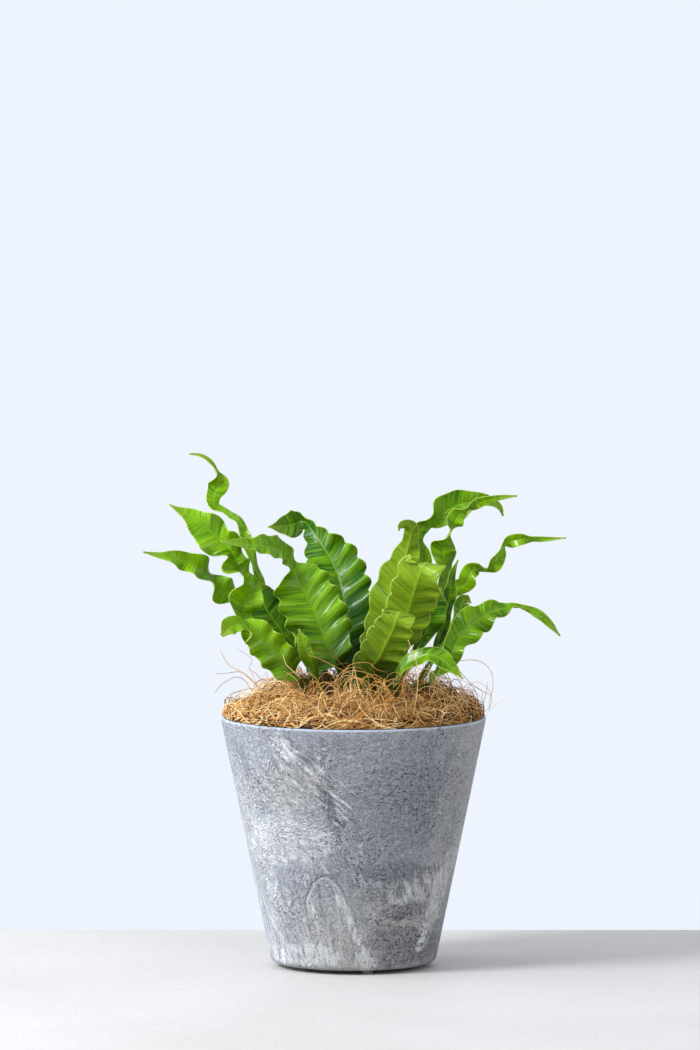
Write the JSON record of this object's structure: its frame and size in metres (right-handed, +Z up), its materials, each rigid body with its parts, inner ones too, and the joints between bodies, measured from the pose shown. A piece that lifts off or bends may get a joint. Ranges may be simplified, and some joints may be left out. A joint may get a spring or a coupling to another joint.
{
  "type": "potted fern",
  "caption": "Strap-leaved fern with crisp-waved fronds, standing in a tapered stone-grey pot dressed with loose coconut fibre.",
  "frame": {"origin": "on the pot's axis, on the surface that the pot stands on", "axes": "+Z up, along the pot's axis; +Y away from someone who looks at the front; +X to that viewer's right"},
  "size_m": [0.2702, 0.1718, 0.3243],
  "materials": {
    "pot": "satin, marbled grey",
    "soil": "matte, crumbly",
    "crown": "matte, scaly",
    "coir": "matte, fibrous",
    "frond": "satin to glossy, waved"
  },
  "bodies": {
    "root": {"pot": "pot", "soil": "soil", "crown": "crown", "coir_mulch": "coir", "frond_01": "frond", "frond_02": "frond", "frond_03": "frond", "frond_04": "frond", "frond_05": "frond", "frond_06": "frond", "frond_07": "frond", "frond_08": "frond", "frond_09": "frond", "frond_10": "frond", "frond_11": "frond", "frond_12": "frond", "frond_13": "frond", "frond_14": "frond", "frond_15": "frond", "frond_16": "frond", "frond_17": "frond", "frond_18": "frond", "frond_19": "frond", "frond_20": "frond", "frond_21": "frond", "frond_22": "frond"}
  },
  "joints": []
}
